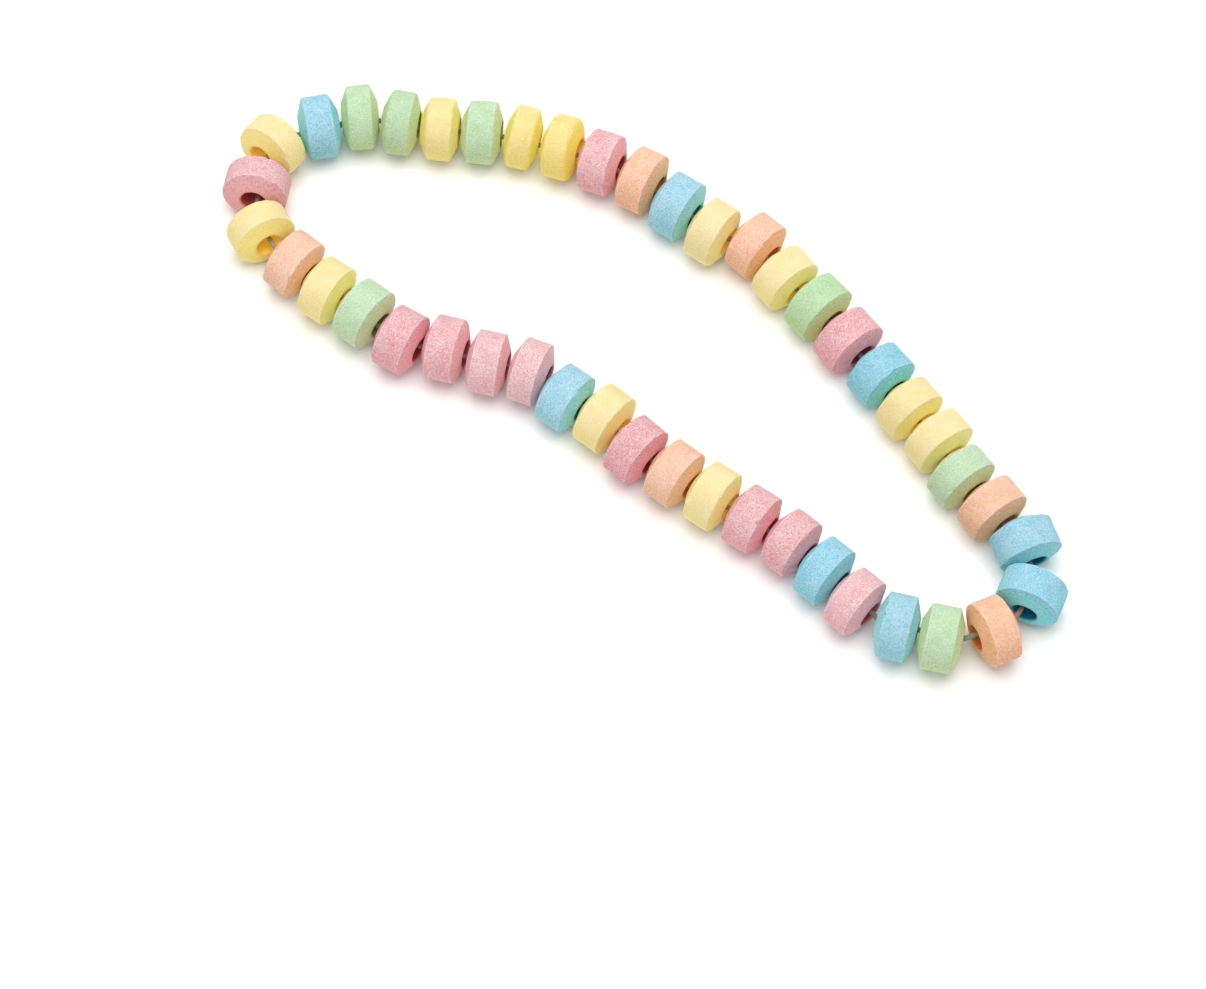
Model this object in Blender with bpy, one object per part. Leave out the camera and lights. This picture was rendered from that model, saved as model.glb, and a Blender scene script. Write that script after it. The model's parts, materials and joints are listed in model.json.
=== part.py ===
"""A candy necklace lying flat: 44 pressed sugar beads on a closed loop of thin elastic string.

Blender 4.5, metres, +Z up. The loop lies on z = 0 with the middle of its box at the origin and its
long way along X. Each bead is a turned disc with a flat rim, two shallow cones and a round hole.
"""

import math
import random

import bmesh
import bpy
from mathutils import Euler, Vector
from mathutils.geometry import interpolate_bezier

MM = 0.001
MERGE_DISTANCE = 0.001 * MM
SHARP_EDGE = math.radians(30)

# One bead, in millimetres; the width of its rim is given for each bead in STRAND
BEAD_DIAMETER = 11.2
CONE_HEIGHT = 1.25
HOLE_DIAMETER = 4.2
LIP_WIDTH = 0.5
LIP_ROUNDING = 0.35
BEAD_SIDES = 20

# How uneven the beads are: a share of their diameter, and degrees that they sit askew on the string
DIAMETER_SPREAD = 0.018
TURN_SPREAD = 1.0
SEED = 44

# The elastic string, in millimetres: it runs straight this far each way from the middle of a bead, and
# lies lower than the middle of the hole and towards the inner side of a bend, up to its play
STRING_DIAMETER = 0.9
STRING_GRIP = 2.8
STRING_DROP = 0.6
STRING_PLAY = 0.7
TUBE_ROUNDNESS = 2

# The loop's course on the table, in millimetres, from the left end along the front and back along the rear
STEPS_PER_STOP = 32
ROUTE = [
    (-57.4, 66.2), (-59.8, 59.0), (-59.7, 51.2), (-53.6, 43.5), (-41.0, 34.0), (-34.6, 29.0),
    (-24.0, 26.0), (-13.0, 23.2), (-0.3, 13.9), (11.9, 4.0), (25.3, -4.7), (37.3, -14.3),
    (42.0, -19.6), (48.6, -23.9), (55.8, -26.0), (64.4, -24.9), (70.9, -19.0), (72.2, -13.4),
    (70.3, -8.3), (65.2, -2.5), (60.2, 3.4), (56.0, 10.0), (47.1, 22.4), (36.3, 35.1),
    (30.8, 41.2), (25.2, 46.9), (18.2, 50.3), (11.6, 55.5), (-1.4, 63.7), (-14.5, 68.2),
    (-28.4, 69.8), (-43.2, 71.7), (-50.4, 70.4),
]

# The beads in their order along the course: colour, width of the rim, and room to the next bead
STRAND = [
    ("yellow", 4.4, 1.6), ("pink", 4.4, 1.85), ("yellow", 4.4, 1.4), ("orange", 4.8, 0.5),
    ("yellow", 4.75, 0.45), ("green", 5.0, 0.65), ("pink", 5.0, 0.65), ("pink", 4.7, 0.45),
    ("pink", 4.5, 0.6), ("pink", 4.2, 0.7), ("blue", 4.8, 0.3), ("yellow", 4.9, 0.35),
    ("pink", 4.9, 0.35), ("orange", 4.9, 0.35), ("yellow", 4.7, 0.5), ("pink", 4.85, 0.5),
    ("pink", 4.7, 0.35), ("blue", 4.5, 0.4), ("pink", 4.5, 1.25), ("blue", 4.6, 0.4),
    ("green", 4.8, 1.8), ("orange", 4.6, 2.0), ("blue", 5.1, 2.2), ("blue", 5.2, 0.8),
    ("orange", 4.9, 0.4), ("green", 4.7, 0.35), ("yellow", 4.7, 0.35), ("yellow", 4.8, 0.4),
    ("blue", 5.1, 0.8), ("pink", 5.2, 0.45), ("green", 5.0, 0.45), ("yellow", 4.9, 0.5),
    ("orange", 4.7, 0.55), ("yellow", 4.6, 0.5), ("blue", 5.0, 0.45), ("orange", 4.6, 0.6),
    ("pink", 4.8, 0.5), ("yellow", 4.0, 0.85), ("yellow", 3.7, 0.6), ("green", 4.5, 0.4),
    ("yellow", 4.2, 0.4), ("green", 4.0, 0.7), ("green", 4.0, 0.5), ("blue", 4.6, 2.15),
]

# Beads that sit off the course or askew on it: millimetres to the left of it, degrees turned to the
# left, and degrees that the front end tips up
SHIFTS = {4: 0.4, 8: 0.5, 9: -0.4, 11: -0.7, 12: 0.5, 13: -0.6, 17: 0.4, 27: -0.5, 31: -0.4, 33: -0.7,
          34: 0.3, 36: -0.5, 43: -0.3, 44: 0.5}
TURNS = {4: 8, 7: -2, 8: -4, 9: -2, 10: 5, 11: 4, 13: -3, 14: -2, 15: -4, 16: 1, 17: -2, 18: 3, 19: 2, 20: 9,
         21: -7, 22: -2, 24: -8, 25: -5, 27: 4, 28: 2, 30: -3, 32: -4, 33: -3, 34: -6, 35: 7, 36: 5, 37: 4,
         42: 2, 43: 2, 44: -7}
LEANS = {1: 12, 2: 13, 3: 9, 4: -3, 8: 3, 22: -4, 23: -4, 24: 4, 36: -3, 37: -5, 38: -6, 39: 5}

# Colour, roughness of each material
MATERIALS = {
    "pink": ((0.82, 0.43, 0.49), 0.85),
    "orange": ((0.93, 0.55, 0.36), 0.85),
    "yellow": ((0.92, 0.80, 0.42), 0.75),
    "green": ((0.52, 0.77, 0.47), 0.85),
    "blue": ((0.35, 0.70, 0.83), 0.85),
    "elastic": ((0.86, 0.84, 0.80), 0.60),
}


def make_material(name):
    """A plain Principled material of the named colour."""
    colour, roughness = MATERIALS[name]
    material = bpy.data.materials.new(name)
    material.use_nodes = True
    shader = material.node_tree.nodes["Principled BSDF"]
    shader.inputs["Base Color"].default_value = (*colour, 1.0)
    shader.inputs["Roughness"].default_value = roughness
    shader.inputs["Metallic"].default_value = 0.0
    material.diffuse_color = (*colour, 1.0)
    return material


def loop_course():
    """Closely spaced points round the closed smooth curve through ROUTE, with the distance to each.

    The curve is a chain of cubic arcs; each arc's handles reach a third of the way to the next stop.
    """
    stops = [Vector((x, y, 0.0)) for x, y in ROUTE]
    count = len(stops)
    spans = [(stops[(i + 1) % count] - stops[i]).length for i in range(count)]
    slopes = []
    for i in range(count):
        before, after = spans[i - 1], spans[i]
        arriving = (stops[i] - stops[i - 1]) / before
        leaving = (stops[(i + 1) % count] - stops[i]) / after
        slopes.append((arriving * after + leaving * before) / (before + after))
    points = []
    for i in range(count):
        j = (i + 1) % count
        reach = spans[i] / 3
        curve = interpolate_bezier(stops[i], stops[i] + slopes[i] * reach,
                                   stops[j] - slopes[j] * reach, stops[j],
                                   STEPS_PER_STOP + 1)
        points.extend(curve[:-1])
    points.append(points[0])
    distances = [0.0]
    for a, b in zip(points, points[1:]):
        distances.append(distances[-1] + (b - a).length)
    return points, distances


def course_at(points, distances, distance):
    """The point on the course at this distance from its start, and the heading there."""
    distance %= distances[-1]
    i = 1
    while distances[i] < distance:
        i += 1
    step = points[i] - points[i - 1]
    share = (distance - distances[i - 1]) / (distances[i] - distances[i - 1])
    return points[i - 1] + step * share, math.atan2(step.y, step.x)


def bead_profile(diameter, rim_width):
    """Half a section through a bead as (along the axis, from the axis), round the closed outline."""
    rim = rim_width / 2
    face = rim + CONE_HEIGHT
    hole = HOLE_DIAMETER / 2
    return [
        (-face, hole + LIP_WIDTH),
        (-rim, diameter / 2),
        (rim, diameter / 2),
        (face, hole + LIP_WIDTH),
        (face - LIP_ROUNDING, hole),
        (LIP_ROUNDING - face, hole),
    ]


def make_bead_mesh(name, diameter, rim_width):
    """A turned bead about the X axis, with one flat of its rim facing straight down."""
    mesh = bpy.data.meshes.new(name)
    bm = bmesh.new()
    half_side = math.pi / BEAD_SIDES
    outline = []
    for along, out in bead_profile(diameter, rim_width):
        outline.append(bm.verts.new((along * MM,
                                     out * math.sin(half_side) * MM,
                                     -out * math.cos(half_side) * MM)))
    edges = [bm.edges.new((outline[i - 1], outline[i])) for i in range(len(outline))]
    bmesh.ops.spin(bm, geom=outline + edges, cent=(0, 0, 0), axis=(1, 0, 0),
                   angle=2 * math.pi, steps=BEAD_SIDES, use_merge=True)
    bmesh.ops.remove_doubles(bm, verts=bm.verts, dist=MERGE_DISTANCE)
    bmesh.ops.recalc_face_normals(bm, faces=bm.faces)
    bm.to_mesh(mesh)
    bm.free()
    mesh.shade_smooth()
    mesh.set_sharp_from_angle(angle=SHARP_EDGE)
    return mesh


def place_beads(materials, parent):
    """Threads the beads along the course and stands each on z = 0."""
    draw = random.Random(SEED)
    points, distances = loop_course()
    threaded = sum(rim_width + 2 * CONE_HEIGHT + room for _, rim_width, room in STRAND)
    slack = (distances[-1] - threaded) / len(STRAND)

    beads = []
    distance = 0.0
    for i, (colour, rim_width, room) in enumerate(STRAND):
        number = i + 1
        name = f"bead_{number:02d}"
        diameter = BEAD_DIAMETER * (1 + draw.uniform(-DIAMETER_SPREAD, DIAMETER_SPREAD))
        bead = bpy.data.objects.new(name, make_bead_mesh(name, diameter, rim_width))
        bead.data.materials.append(materials[colour])
        bpy.context.collection.objects.link(bead)
        spot, heading = course_at(points, distances, distance)
        spot += Vector((-math.sin(heading), math.cos(heading), 0.0)) * SHIFTS.get(number, 0.0)
        turn = TURNS.get(number, 0) + draw.uniform(-TURN_SPREAD, TURN_SPREAD)
        lean = math.radians(LEANS.get(number, 0))
        bead.rotation_euler = Euler((0.0, -lean, heading + math.radians(turn)))
        turned = bead.rotation_euler.to_matrix()
        height = -min((turned @ vertex.co).z for vertex in bead.data.vertices)
        bead.location = Vector((spot.x * MM, spot.y * MM, height))
        bead.parent = parent
        beads.append(bead)
        next_rim_width = STRAND[(i + 1) % len(STRAND)][1]
        distance += (rim_width + next_rim_width) / 2 + 2 * CONE_HEIGHT + room + slack
    return beads


def make_string(beads, material, parent):
    """The closed elastic tube: straight inside each bead, bending from one bead to the next."""
    curve = bpy.data.curves.new("elastic_string", "CURVE")
    curve.dimensions = "3D"
    curve.bevel_depth = STRING_DIAMETER / 2 * MM
    curve.bevel_resolution = TUBE_ROUNDNESS
    spline = curve.splines.new("POLY")
    spline.points.add(2 * len(beads) - 1)
    for i, bead in enumerate(beads):
        axis = bead.rotation_euler.to_matrix() @ Vector((1, 0, 0))
        pull = (beads[i - 1].location + beads[(i + 1) % len(beads)].location) / 2 - bead.location
        offset = pull - axis * pull.dot(axis) + Vector((0, 0, -STRING_DROP * MM))
        if offset.length > STRING_PLAY * MM:
            offset *= STRING_PLAY * MM / offset.length
        grip = axis * STRING_GRIP * MM
        spline.points[2 * i].co = (*(bead.location + offset - grip), 1.0)
        spline.points[2 * i + 1].co = (*(bead.location + offset + grip), 1.0)
    spline.use_cyclic_u = True
    string = bpy.data.objects.new("elastic_string", curve)
    curve.materials.append(material)
    bpy.context.collection.objects.link(string)
    string.parent = parent
    return string


def centre_on_origin(parent, beads):
    """Moves the whole necklace so that the middle of its box is over the origin."""
    corners = []
    for bead in beads:
        turned = bead.rotation_euler.to_matrix()
        corners.extend(bead.location + turned @ vertex.co for vertex in bead.data.vertices)
    for axis in (0, 1):
        low = min(corner[axis] for corner in corners)
        high = max(corner[axis] for corner in corners)
        parent.location[axis] = -(low + high) / 2


def main():
    for obj in list(bpy.data.objects):
        bpy.data.objects.remove(obj, do_unlink=True)
    materials = {name: make_material(name) for name in MATERIALS}
    necklace = bpy.data.objects.new("necklace", None)
    bpy.context.collection.objects.link(necklace)
    beads = place_beads(materials, necklace)
    make_string(beads, materials["elastic"], necklace)
    centre_on_origin(necklace, beads)


main()
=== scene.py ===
"""The looks of a candy necklace: chalky sugar beads and a thin covered elastic, on a white table.

Every bead is turned anew round the middle and axis of its CAD solid, with worn round corners, a slightly
uneven press and fine grain. Metres throughout; sizes named below are in millimetres.
"""

import json
import math
import random

import bmesh
import bpy
import numpy as np
from mathutils import Matrix, Vector, noise
from mathutils.geometry import interpolate_bezier


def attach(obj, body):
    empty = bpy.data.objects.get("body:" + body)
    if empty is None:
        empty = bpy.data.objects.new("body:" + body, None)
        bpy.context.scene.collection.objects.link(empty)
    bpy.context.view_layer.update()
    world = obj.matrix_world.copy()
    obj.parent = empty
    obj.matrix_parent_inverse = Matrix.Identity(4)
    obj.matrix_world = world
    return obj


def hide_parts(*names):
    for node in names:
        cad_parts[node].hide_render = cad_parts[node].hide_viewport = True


MM = 0.001
SEED = 7

# Reading a bead's CAD solid: points this close are one, its rim's corners lie beyond this share of the
# farthest point's distance from its middle, and it has this many sides
MERGE_DISTANCE = 0.01
RIM_SHARE = 0.9
CAD_SIDES = 20

# The turned beads: the way that every axis points, roughly; points round each bead; the distance between
# points along its outline; its corners' rounding; how wide its rim's edges wear; and its least height
AXIS_WAY = (1.0, 0.3, 0.0)
AROUND = 112
CONE_STEP = 0.30
BAND_STEP = 0.18
HOLE_STEP = 0.80
ARC_POINTS = 6
CORNER_SPREAD = (0.75, 1.35)
LIP_CORNER = 0.45
EDGE_HALF_WIDTH = 0.15
EDGE_REACH = 0.5
TABLE_CLEARANCE = 0.01

# How uneven the sugar is: the length of each ripple and how far it stands out; the crumbs lost from the
# edges; and the lines that the press leaves round the rim
LUMPS = ((4.5, 0.070), (1.4, 0.026), (0.55, 0.012))
CRUMB_LENGTH = 1.0
CRUMB_DEPTH = 0.34
CRUMB_START = 0.18
CRUMBLINESS = (0.5, 1.4)
PRESS_LINE = 0.42
PRESS_DEPTH = (0.004, 0.035)

# How much of the saturated tone of painted shade and bounce light shows at the outside of a cone, at its
# lip and on low sides; how much a cone's specks are darkened as painted shade, against a low side; and how
# much of the painted shade in the hole shows in it
CONE_PAINTED_BOUNCE_SHADE = 0.25
LIP_PAINTED_BOUNCE_SHADE = 0.60
LOW_SIDE_PAINTED_BOUNCE_SHADE = 0.38
CONE_PAINTED_SHADE_SPECKS = 0.4
HOLE_PAINTED_SHADE_AND_GLOW_SHARE = 0.95

# The part of a cone over which these painted shades set in, and the rise of the normal below which a side
# counts as low and gets painted shade
CONE_ONSET = 1 / 8
LEVEL_LIMIT = 0.8

# Patches of a tone: their length, the detail and roughness of their noise, the two values between which
# they set in, and how much of them shows at the most
PATCHES = {
    "clouds": (2.6, 3.0, 0.55, 0.36, 0.70, 1.0),
    "blush": (0.75, 3.0, 0.6, 0.52, 0.72, 0.55),
    "specks": (0.24, 2.0, 0.6, 0.52, 0.68, 0.95),
    # Specks of painted shade on sides that face down and on the cones
    "painted_shade_specks": (0.34, 2.0, 0.6, 0.49, 0.55, 1.0),
    "powder": (0.27, 2.0, 0.6, 0.50, 0.66, 0.85),
    "wear": (1.1, 3.0, 0.6, 0.40, 0.66, 0.6),
    "dull": (0.5, 3.0, 0.6, 0.3, 0.7, 1.0),
    "dust": (1.5, 3.0, 0.6, 0.35, 0.7, 0.35),
}

# The sugar's relief, coarse and then fine: the grains' length, the detail and roughness of their noise,
# their depth and their strength; how much its roughness varies; how near to an edge, from 0 to 1, it starts
# to be worn; and how deep light goes into it
GRAINS = ((0.55, 3.0, 0.6, 0.10, 0.45), (0.20, 2.0, 0.6, 0.06, 0.80))
ROUGHNESS_RANGE = 0.12
WORN_FROM = 0.80
GLOW_DEPTH = 0.9

# A bead's own brightness and saturation: the least, and what the most adds to it; and the least and the
# most strength of dye in a bead that isn't listed below
BRIGHTNESS = (0.97, 0.05)
SATURATION = (0.80, 0.40)
USUAL_STRENGTH = (0.3, 0.7)

# The elastic: how far it runs straight inside a bead each way, and how it lies off the middle of the hole
STRING_RADIUS = 0.45
STRING_SIDES = 16
STRING_STEP = 0.3
STRING_GRIP = 2.8
STRING_DROP = 0.6
STRING_PLAY = 0.7

# Its cover: wound threads that stand out by a share of its radius and take the dark tone of grime and
# painted shade up to a share of their own height; its tone where it is clean and its dark tone of grime and
# painted shade, and how much of a bead's speck tone tints that
COVER_THREADS = 3
THREAD_HEIGHT = 0.07
THREAD_ADVANCE = math.pi / 3
GRIME_AND_SHADE_HEIGHT = 0.45
COVER_TONE = (0.44, 0.39, 0.32)
GRIME_AND_SHADE_TONE = (0.22, 0.18, 0.15)
STAIN_SHARE = 0.3

# The white room's strength; each lamp's place and size in metres, watts and colour; and the table's half
# width in metres and its tones
ROOM_STRENGTH = 0.57
LAMPS = {
    "key": ((0.00, 0.10, 0.75), 0.75, 5.7, (1.0, 0.99, 0.97)),
    "fill": ((-0.35, -0.50, 0.60), 0.8, 0.3, (1.0, 0.99, 0.98)),
}
TABLE_REACH = 3.0
TABLE_TONES = ((0.95, 0.95, 0.95), (0.97, 0.97, 0.97))

# The photograph's frame and camera
PHOTO_WIDTH = 1206
FOCAL_PIXELS = 4500.0
PIXELS_PER_MM = 5.957
CAMERA_ELEVATION = math.radians(66.0)
LOOK_AT = Vector((-5.79, -22.92, 5.75)) * MM
SENSOR_WIDTH = 36.0

# Each sugar: its main tone, a deeper tone that clouds it, specks, the paler tone of powder and worn edges,
# the saturated tone of painted shade and bounce light on the cones and low sides, the painted shade in the
# holes and how brightly they glow as painted light, how speckled, rough and translucent the sugar is, and
# how round its rim's corners are in millimetres
SUGARS = {
    "pink": {
        "main": (0.69, 0.42, 0.44), "deep": (0.66, 0.32, 0.33), "speck": (0.50, 0.13, 0.17),
        "pale": (0.78, 0.60, 0.62), "painted_bounce_shade": (0.88, 0.38, 0.41), "hole_painted_shade_and_glow": (0.42, 0.03, 0.05), "hole_painted_glow": 0.05,
        "specks": 0.85, "roughness": 0.86, "glow": 0.30, "corner": 0.17,
    },
    "orange": {
        "main": (0.78, 0.49, 0.35), "deep": (0.75, 0.41, 0.25), "speck": (0.65, 0.23, 0.10),
        "pale": (0.80, 0.62, 0.52), "painted_bounce_shade": (0.84, 0.46, 0.22), "hole_painted_shade_and_glow": (0.60, 0.16, 0.03), "hole_painted_glow": 0.07,
        "specks": 0.65, "roughness": 0.86, "glow": 0.30, "corner": 0.18,
    },
    "yellow": {
        "main": (0.76, 0.65, 0.33), "deep": (0.74, 0.60, 0.25), "speck": (0.70, 0.52, 0.15),
        "pale": (0.78, 0.71, 0.46), "painted_bounce_shade": (0.95, 0.84, 0.17), "hole_painted_shade_and_glow": (0.93, 0.62, 0.06), "hole_painted_glow": 0.15,
        "specks": 0.15, "roughness": 0.66, "glow": 0.45, "corner": 0.28,
    },
    "green": {
        "main": (0.45, 0.62, 0.41), "deep": (0.38, 0.57, 0.31), "speck": (0.22, 0.42, 0.16),
        "pale": (0.57, 0.68, 0.53), "painted_bounce_shade": (0.64, 0.74, 0.31), "hole_painted_shade_and_glow": (0.16, 0.26, 0.02), "hole_painted_glow": 0.05,
        "specks": 0.55, "roughness": 0.84, "glow": 0.35, "corner": 0.20,
    },
    "blue": {
        "main": (0.31, 0.56, 0.66), "deep": (0.23, 0.50, 0.63), "speck": (0.07, 0.31, 0.47),
        "pale": (0.46, 0.64, 0.71), "painted_bounce_shade": (0.26, 0.74, 0.76), "hole_painted_shade_and_glow": (0.00, 0.16, 0.28), "hole_painted_glow": 0.04,
        "specks": 0.75, "roughness": 0.86, "glow": 0.30, "corner": 0.16,
    },
}

# Beads whose dye is judged from the photograph, from 0 for pale to 1 for strong
STRENGTHS = {
    4: 0.25, 6: 0.1, 7: 0.5, 9: 0.1, 10: 0.0, 11: 0.25, 13: 0.6, 16: 0.4, 17: 0.4, 18: 0.6, 19: 0.1,
    20: 0.25, 21: 0.3, 22: 0.55, 23: 0.6, 24: 0.4, 26: 0.15, 27: 0.3, 28: 0.35, 29: 0.65, 30: 0.55,
    34: 0.2, 35: 0.25, 37: 0.35, 38: 0.9, 39: 0.8, 42: 0.35, 43: 0.4, 44: 0.45,
}

# Beads whose rim is worn rounder than its sugar's usual corner, and how many times rounder
ROUNDER = {8: 2.0, 37: 2.2, 38: 3.6, 39: 3.6, 40: 2.6, 41: 3.0, 42: 4.0, 43: 4.0, 44: 2.4}


def clamped(value):
    """The value, kept between 0 and 1."""
    return min(1.0, max(0.0, value))


def socket(node, name, value):
    """Sets a constant on one of a node's inputs."""
    node.inputs[name].default_value = value


class Nodes:
    """Short calls for building a material's node tree."""

    def __init__(self, material):
        material.use_nodes = True
        self.tree = material.node_tree
        self.shader = self.tree.nodes["Principled BSDF"]

    def add(self, kind, **settings):
        node = self.tree.nodes.new(kind)
        for name, value in settings.items():
            setattr(node, name, value)
        return node

    def link(self, source, target):
        self.tree.links.new(source, target)

    def place(self):
        return self.add("ShaderNodeTexCoord").outputs["Object"]

    def attribute(self, name):
        return self.add("ShaderNodeAttribute", attribute_name=name).outputs["Fac"]

    def cloud(self, place, length, detail, roughness):
        """Noise whose features are about this many millimetres long, from 0 to 1."""
        node = self.add("ShaderNodeTexNoise")
        self.link(place, node.inputs["Vector"])
        socket(node, "Scale", 1.0 / (length * MM))
        socket(node, "Detail", detail)
        socket(node, "Roughness", roughness)
        return node.outputs["Fac"]

    def ramp(self, value, low, high, top=1.0):
        """0 at low, top at high, straight between."""
        node = self.add("ShaderNodeMapRange")
        self.link(value, node.inputs["Value"])
        socket(node, "From Min", low)
        socket(node, "From Max", high)
        socket(node, "To Min", 0.0)
        socket(node, "To Max", top)
        return node.outputs["Result"]

    def patches(self, place, kind, share=1.0):
        """How much of a kind of patch shows; a share below 1 makes all of it fainter."""
        length, detail, roughness, low, high, top = PATCHES[kind]
        return self.ramp(self.cloud(place, length, detail, roughness), low, high, top * share)

    def maths(self, operation, a, b):
        """One operation on two values, each an output or a number."""
        node = self.add("ShaderNodeMath", operation=operation)
        for entry, value in zip(node.inputs, (a, b)):
            if isinstance(value, (int, float)):
                entry.default_value = value
            else:
                self.link(value, entry)
        return node.outputs["Value"]

    def within(self, value, least, more):
        """The least where the value is 0, and this much more where it is 1."""
        return self.maths("ADD", self.maths("MULTIPLY", value, more), least)

    def mix(self, share, first, second):
        """From the first colour to the second; each is an output or a tone."""
        node = self.add("ShaderNodeMix", data_type="RGBA")
        self.link(share, node.inputs[0])
        for entry, value in ((node.inputs[6], first), (node.inputs[7], second)):
            if isinstance(value, tuple):
                entry.default_value = (*value, 1.0)
            else:
                self.link(value, entry)
        return node.outputs[2]

    def bump(self, height, distance, strength, under=None):
        """A relief this many millimetres deep, over the relief under it if there is one."""
        node = self.add("ShaderNodeBump")
        self.link(height, node.inputs["Height"])
        socket(node, "Distance", distance * MM)
        socket(node, "Strength", strength)
        if under is not None:
            self.link(under, node.inputs["Normal"])
        return node.outputs["Normal"]


def sugar_material(name):
    """Pressed sugar: clouded, speckled with dye, paler where the edges are worn, with a fine grain; with
    painted shade and bounce light on the cones and low sides, and painted shade and a painted glow in the
    holes.
    """
    tones = SUGARS[name]
    material = bpy.data.materials.new(f"sugar_{name}")
    nodes = Nodes(material)
    place = nodes.place()

    colour = nodes.mix(nodes.patches(place, "clouds"), tones["main"], tones["deep"])
    colour = nodes.mix(nodes.patches(place, "blush", tones["specks"]), colour, tones["deep"])
    colour = nodes.mix(nodes.patches(place, "specks", tones["specks"]), colour, tones["speck"])
    # Painted shade: more dark specks on sides that face down and on the cones
    painted_shade_specks = nodes.maths("MULTIPLY", nodes.patches(place, "painted_shade_specks"), nodes.attribute("low"))
    colour = nodes.mix(painted_shade_specks, colour, tones["speck"])
    colour = nodes.mix(nodes.patches(place, "powder"), colour, tones["pale"])

    # Painted shade and bounce light: the saturated tone on the cones, at their lips and on sides that face
    # down
    colour = nodes.mix(nodes.attribute("painted_bounce_shade_share"), colour, tones["painted_bounce_shade"])
    near_edge = nodes.ramp(nodes.attribute("edge"), WORN_FROM, 1.0)
    worn = nodes.maths("MULTIPLY", near_edge, nodes.patches(place, "wear"))
    colour = nodes.mix(worn, colour, tones["pale"])
    # Painted shade: a dark saturated tone deep in the holes
    hole_painted_shade_and_glow = nodes.attribute("hole_painted_shade_and_glow")
    colour = nodes.mix(hole_painted_shade_and_glow, colour, tones["hole_painted_shade_and_glow"])

    shade = nodes.add("ShaderNodeHueSaturation")
    nodes.link(colour, shade.inputs["Color"])
    nodes.link(nodes.within(nodes.attribute("tint"), *BRIGHTNESS), shade.inputs["Value"])
    nodes.link(nodes.within(nodes.attribute("strength"), *SATURATION), shade.inputs["Saturation"])
    nodes.link(shade.outputs["Color"], nodes.shader.inputs["Base Color"])

    smoothest = tones["roughness"] - ROUGHNESS_RANGE / 2
    roughness = nodes.within(nodes.patches(place, "dull"), smoothest, ROUGHNESS_RANGE)
    nodes.link(roughness, nodes.shader.inputs["Roughness"])

    relief = None
    for length, detail, noisiness, depth, strength in GRAINS:
        relief = nodes.bump(nodes.cloud(place, length, detail, noisiness), depth, strength, relief)
    nodes.link(relief, nodes.shader.inputs["Normal"])

    # Painted glow: the holes give off light in their dark tone, standing in for light coming through the
    # sugar
    socket(nodes.shader, "Emission Color", (*tones["hole_painted_shade_and_glow"], 1.0))
    nodes.link(nodes.maths("MULTIPLY", hole_painted_shade_and_glow, tones["hole_painted_glow"]), nodes.shader.inputs["Emission Strength"])
    socket(nodes.shader, "Specular IOR Level", 0.30)
    socket(nodes.shader, "Subsurface Weight", tones["glow"])
    socket(nodes.shader, "Subsurface Radius", (1.0, 0.75, 0.6))
    socket(nodes.shader, "Subsurface Scale", GLOW_DEPTH * MM)
    return material


def elastic_material():
    """A covered elastic: off-white thread wound round it, mostly darkened by a tone of grime and painted
    shade that is tinted by each bead's specks and is darkest in the grooves between the threads.
    """
    material = bpy.data.materials.new("elastic_thread")
    nodes = Nodes(material)
    winding = nodes.attribute("wind")
    # Dark tone of grime and painted shade, deepest in the grooves between the threads
    grime_and_shade = nodes.add("ShaderNodeAttribute", attribute_name="grime_and_shade").outputs["Color"]
    dusty = nodes.mix(nodes.patches(nodes.place(), "dust"), grime_and_shade, COVER_TONE)
    colour = nodes.mix(nodes.ramp(winding, 0.0, GRIME_AND_SHADE_HEIGHT), grime_and_shade, dusty)
    nodes.link(colour, nodes.shader.inputs["Base Color"])
    nodes.link(nodes.bump(winding, 0.08, 0.6), nodes.shader.inputs["Normal"])
    socket(nodes.shader, "Roughness", 0.75)
    return material


def bead_facts(node):
    """Middle, axis, outer radius, half rim, half thickness and hole radius of a bead's CAD solid, in mm."""
    mesh = bmesh.new()
    mesh.from_mesh(node.data)
    bmesh.ops.remove_doubles(mesh, verts=mesh.verts, dist=MERGE_DISTANCE * MM)
    points = np.array([v.co[:] for v in mesh.verts]) / MM
    mesh.free()
    middle = (points.min(axis=0) + points.max(axis=0)) / 2
    away = points - middle
    far = np.linalg.norm(away, axis=1)
    rim_corners = away[far > RIM_SHARE * far.max()]
    axis = np.linalg.eigh(rim_corners.T @ rim_corners)[1][:, 0]
    along = away @ axis
    out = np.linalg.norm(away - np.outer(along, axis), axis=1)
    rim = np.abs(rim_corners @ axis).mean()
    return Vector(middle), Vector(axis), out.max(), rim, np.abs(along).max(), out.min()


def rounded_outline(corners, radii, steps):
    """A closed outline with each corner rounded; the side after each corner has points this far apart."""
    count = len(corners)
    arcs = []
    for i, (corner, radius) in enumerate(zip(corners, radii)):
        to_last = (corners[i - 1] - corner).normalized()
        to_next = (corners[(i + 1) % count] - corner).normalized()
        half = to_last.angle(to_next) / 2
        reach = radius / math.tan(half)
        centre = corner + (to_last + to_next).normalized() * (radius / math.sin(half))
        first = (corner + to_last * reach - centre).normalized()
        last = (corner + to_next * reach - centre).normalized()
        arcs.append([centre + first.slerp(last, k / (ARC_POINTS - 1)) * radius for k in range(ARC_POINTS)])
    outline = []
    for i, (arc, step) in enumerate(zip(arcs, steps)):
        outline.extend(arc)
        start, end = arc[-1], arcs[(i + 1) % count][0]
        parts = max(1, round((end - start).length / step))
        outline.extend(start.lerp(end, k / parts) for k in range(1, parts))
    return outline


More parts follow.
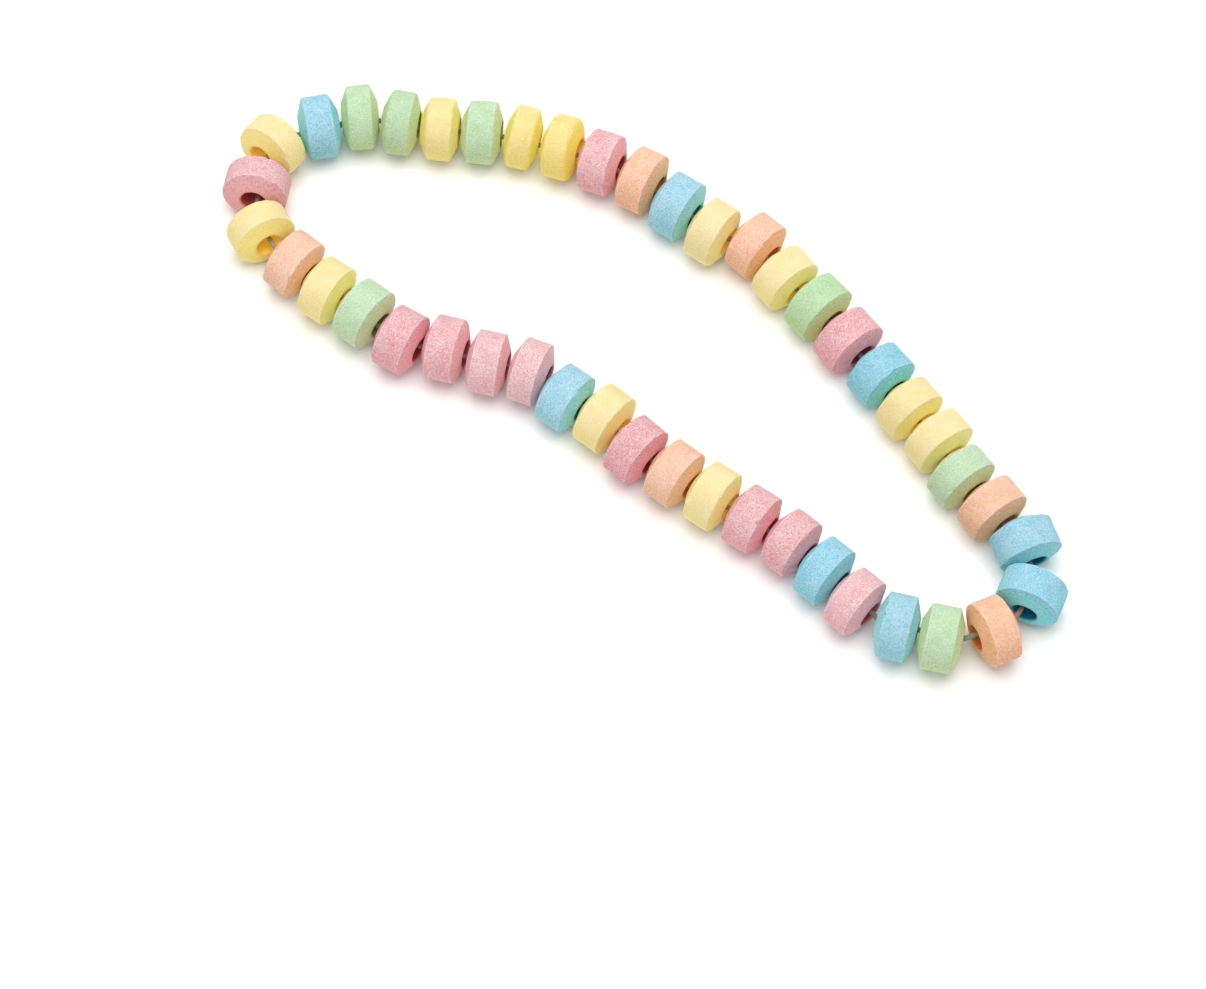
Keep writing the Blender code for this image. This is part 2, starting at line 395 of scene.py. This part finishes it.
def ringed_object(name, points, rings, sides, written):
    """An object whose skin joins each ring of points to the next and the last to the first."""
    faces = []
    for i in range(rings):
        j = (i + 1) % rings
        for k in range(sides):
            m = (k + 1) % sides
            faces.append((i * sides + k, j * sides + k, j * sides + m, i * sides + m))
    mesh = bpy.data.meshes.new(name)
    mesh.from_pydata(points, [], faces)
    mesh.shade_smooth()
    for label, values in written.items():
        mesh.attributes.new(label, "FLOAT", "POINT").data.foreach_set("value", values)
    mesh.update()
    made = bpy.data.objects.new(name, mesh)
    bpy.context.collection.objects.link(made)
    return made


def marks_at(spot, rim_corners, radius, hole):
    """How near a point of the outline is to a worn edge, how far in from it, and how deep in the hole."""
    near = min((spot - corner).length for corner in rim_corners)
    edge = clamped(1.0 - max(0.0, near - EDGE_HALF_WIDTH) / EDGE_REACH)
    outside = radius - EDGE_HALF_WIDTH
    sunk = clamped((outside - spot.y) / (outside - hole))
    inside = clamped((hole + LIP_CORNER - spot.y) / LIP_CORNER)
    return edge, sunk, inside


def unevenness(local, salt, edge, crumbly):
    """How far the sugar stands out of its true shape at a point, with crumbs lost from the edges."""
    rise = sum(noise.noise((local + salt) / length) * height for length, height in LUMPS)
    crumb = noise.noise((local - salt) / CRUMB_LENGTH) - CRUMB_START
    if edge > 0 and crumb > 0:
        rise -= crumb * CRUMB_DEPTH * crumbly * edge / (1 - CRUMB_START)
    return rise


def turned_bead(number, node, corner_size):
    """The fine mesh of one bead in place, and the middle and axis that the string follows.

    Written on each point: how near it is to a worn edge; how much painted shade and bounce light it gets on
    the cones and on sides that face down; how much painted shade and glow it gets deep in the hole; how
    much painted shade its specks show on sides that face down and on the cones; and the bead's own
    brightness and strength of dye.
    """
    draw = random.Random(SEED * 1000 + number)
    middle, axis, radius, rim, face, hole = bead_facts(node)
    if axis.dot(Vector(AXIS_WAY)) < 0:
        axis = -axis
    radius *= (1 + math.cos(math.pi / CAD_SIDES)) / 2
    slope = (face - rim) / (radius - hole - LIP_CORNER)
    mouth = rim + slope * (radius - hole)
    corners = [Vector(c) for c in ((-mouth, hole), (-rim, radius), (rim, radius), (mouth, hole))]
    rim_radii = [corner_size * ROUNDER.get(number, 1.0) * draw.uniform(*CORNER_SPREAD) for _ in range(2)]
    radii = [LIP_CORNER, *rim_radii, LIP_CORNER]
    outline = rounded_outline(corners, radii, (CONE_STEP, BAND_STEP, CONE_STEP, HOLE_STEP))

    across = Vector((0, 0, 1)).cross(axis).normalized()
    up = axis.cross(across)
    turn = Matrix((axis, across, up)).transposed()
    salt = Vector([draw.uniform(-90, 90) for _ in range(3)])
    spin = draw.uniform(0, math.tau)
    crumbly = draw.uniform(*CRUMBLINESS)
    press_depth = draw.uniform(*PRESS_DEPTH)
    tint = draw.random()
    strength = STRENGTHS.get(number, draw.uniform(*USUAL_STRENGTH))

    points = []
    written = {"edge": [], "painted_bounce_shade_share": [], "hole_painted_shade_and_glow": [], "low": []}
    for i, spot in enumerate(outline):
        run = (outline[(i + 1) % len(outline)] - outline[i - 1]).normalized()
        outward = Vector((-run.y, run.x))
        edge, sunk, inside = marks_at(spot, corners[1:3], radius, hole)
        on_cone = clamped(sunk / CONE_ONSET)
        # Painted shade and bounce light on the cone, strongest at its lip
        painted_bounce_shade = CONE_PAINTED_BOUNCE_SHADE * on_cone + (LIP_PAINTED_BOUNCE_SHADE - CONE_PAINTED_BOUNCE_SHADE) * sunk ** 2
        press = noise.noise((spot.x / PRESS_LINE, salt.x, salt.y)) * press_depth if sunk == 0.0 else 0.0
        for k in range(AROUND):
            angle = math.tau * k / AROUND + spin
            cosine, sine = math.cos(angle), math.sin(angle)
            local = Vector((spot.x, spot.y * cosine, spot.y * sine))
            normal = Vector((outward.x, outward.y * cosine, outward.y * sine))
            rise = press + unevenness(local, salt, edge, crumbly)
            # How far the side faces down; such sides get painted shade
            low = clamped(LEVEL_LIMIT - (turn @ normal).z)
            placed = middle + turn @ (local + normal * rise)
            placed.z = max(placed.z, TABLE_CLEARANCE)
            points.append(placed * MM)
            written["edge"].append(edge)
            # Painted shade and bounce light on the cones and on sides that face down
            written["painted_bounce_shade_share"].append(clamped(painted_bounce_shade + LOW_SIDE_PAINTED_BOUNCE_SHADE * low))
            # Painted shade and painted glow deep in the hole
            written["hole_painted_shade_and_glow"].append(HOLE_PAINTED_SHADE_AND_GLOW_SHARE * inside ** 2)
            # Painted shade in the specks of sides that face down and of the cones
            written["low"].append(clamped(low + CONE_PAINTED_SHADE_SPECKS * on_cone))
    written["tint"] = [tint] * len(points)
    written["strength"] = [strength] * len(points)
    bead = ringed_object(f"sugar_bead_{number:02d}", points, len(outline), AROUND, written)
    return bead, (middle, axis)


def string_course(threads):
    """Points along the string's middle, in millimetres, each with the bead that it belongs to.

    The string runs straight inside each bead, pulled towards the inner side of a bend and hanging lower
    than the middle of the hole, and bends from one bead to the next.
    """
    stops = []
    for i, (middle, axis) in enumerate(threads):
        before = threads[i - 1][0]
        after = threads[(i + 1) % len(threads)][0]
        axis = axis if axis.dot(after - before) > 0 else -axis
        pull = (before + after) / 2 - middle
        offset = pull - axis * pull.dot(axis) + Vector((0, 0, -STRING_DROP))
        if offset.length > STRING_PLAY:
            offset *= STRING_PLAY / offset.length
        stops.append((middle + offset - axis * STRING_GRIP, axis))
        stops.append((middle + offset + axis * STRING_GRIP, axis))
    course = []
    for i, (start, axis) in enumerate(stops):
        end, next_axis = stops[(i + 1) % len(stops)]
        span = (end - start).length
        parts = max(2, round(span / STRING_STEP))
        arc = interpolate_bezier(start, start + axis * span / 3, end - next_axis * span / 3, end, parts + 1)
        course.extend((spot, i // 2) for spot in arc[:-1])
    return course


def make_string(threads, grime_and_shade_tones):
    """One closed tube through all the beads' holes, in order, with its winding and its tones of grime and
    painted shade written on it.
    """
    course = string_course(threads)
    points, winding, colours = [], [], []
    for i, (spot, bead) in enumerate(course):
        ahead = (course[(i + 1) % len(course)][0] - course[i - 1][0]).normalized()
        side = ahead.cross(Vector((0, 0, 1))).normalized()
        top = side.cross(ahead)
        for k in range(STRING_SIDES):
            angle = math.tau * k / STRING_SIDES
            ridge = abs(math.sin(COVER_THREADS * angle / 2 + i * THREAD_ADVANCE))
            reach = STRING_RADIUS * (1 - THREAD_HEIGHT + THREAD_HEIGHT * ridge)
            points.append((spot + (side * math.cos(angle) + top * math.sin(angle)) * reach) * MM)
            winding.append(ridge)
            colours.extend((*grime_and_shade_tones[bead], 1.0))
    string = ringed_object("covered_elastic", points, len(course), STRING_SIDES, {"wind": winding})
    string.data.attributes.new("grime_and_shade", "FLOAT_COLOR", "POINT").data.foreach_set("color", colours)
    return string


def make_table():
    """The plain white table that the necklace lies on."""
    mesh = bpy.data.meshes.new("table")
    corners = [(x * TABLE_REACH, y * TABLE_REACH, 0) for x, y in ((-1, -1), (1, -1), (1, 1), (-1, 1))]
    mesh.from_pydata(corners, [], [(0, 1, 2, 3)])
    table = bpy.data.objects.new("table", mesh)
    bpy.context.collection.objects.link(table)
    material = bpy.data.materials.new("white_table")
    nodes = Nodes(material)
    grain = nodes.cloud(nodes.place(), 4.0, 3.0, 0.5)
    nodes.link(nodes.mix(grain, *TABLE_TONES), nodes.shader.inputs["Base Color"])
    socket(nodes.shader, "Roughness", 0.7)
    socket(nodes.shader, "Specular IOR Level", 0.2)
    mesh.materials.append(material)


def area_light(name, place, size, watts, colour):
    """A round lamp that faces the middle of the necklace."""
    data = bpy.data.lights.new(name, "AREA")
    data.shape = "DISK"
    data.size = size
    data.energy = watts
    data.color = colour
    light = bpy.data.objects.new(name, data)
    light.location = place
    light.rotation_euler = (-Vector(place)).to_track_quat("-Z", "Y").to_euler()
    bpy.context.collection.objects.link(light)


def light_scene():
    """A white room, a large key lamp overhead and a weak fill."""
    world = bpy.data.worlds.new("studio")
    world.use_nodes = True
    background = world.node_tree.nodes["Background"]
    background.inputs["Color"].default_value = (1.0, 1.0, 1.0, 1.0)
    background.inputs["Strength"].default_value = ROOM_STRENGTH
    bpy.context.scene.world = world
    for name, (place, size, watts, colour) in LAMPS.items():
        area_light(name, place, size, watts, colour)


def set_camera():
    """The photograph's view, with untouched colours."""
    data = bpy.data.cameras.new("camera")
    data.sensor_width = SENSOR_WIDTH
    data.lens = FOCAL_PIXELS * SENSOR_WIDTH / PHOTO_WIDTH
    data.clip_start = 0.01
    camera = bpy.data.objects.new("camera", data)
    back = Vector((0, -math.cos(CAMERA_ELEVATION), math.sin(CAMERA_ELEVATION)))
    camera.location = LOOK_AT + back * (FOCAL_PIXELS / PIXELS_PER_MM * MM)
    camera.rotation_euler = back.to_track_quat("Z", "Y").to_euler()
    bpy.context.collection.objects.link(camera)
    bpy.context.scene.camera = camera
    view = bpy.context.scene.view_settings
    view.view_transform = "Standard"
    view.look = "None"
    view.exposure = 0.0


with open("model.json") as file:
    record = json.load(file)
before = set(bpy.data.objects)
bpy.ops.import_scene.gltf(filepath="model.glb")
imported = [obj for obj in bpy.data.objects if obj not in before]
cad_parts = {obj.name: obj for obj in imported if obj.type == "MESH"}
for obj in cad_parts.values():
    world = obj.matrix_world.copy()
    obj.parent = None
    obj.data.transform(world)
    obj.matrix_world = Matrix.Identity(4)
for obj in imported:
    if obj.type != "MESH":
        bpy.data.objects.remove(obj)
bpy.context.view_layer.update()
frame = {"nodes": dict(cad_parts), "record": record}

materials = {name: sugar_material(name) for name in SUGARS}
slots = {entry["node"]: entry["material_slot"] for entry in frame["record"]["subparts"]}
bead_nodes = sorted(node for node in slots if node.startswith("bead_"))
threads, grime_and_shade_tones = [], []
for number, node_name in enumerate(bead_nodes, start=1):
    slot = slots[node_name]
    bead, thread = turned_bead(number, frame["nodes"][node_name], SUGARS[slot]["corner"])
    threads.append(thread)
    # The elastic's tone in each bead: grime and painted shade, tinted with the bead's specks
    grime_and_shade_tones.append(Vector(GRIME_AND_SHADE_TONE).lerp(Vector(SUGARS[slot]["speck"]), STAIN_SHARE))
    bead.data.materials.append(materials[slot])
    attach(bead, "root")
    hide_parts(node_name)

string = make_string(threads, grime_and_shade_tones)
string.data.materials.append(elastic_material())
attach(string, "root")
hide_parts("elastic_string")

make_table()
light_scene()
set_camera()
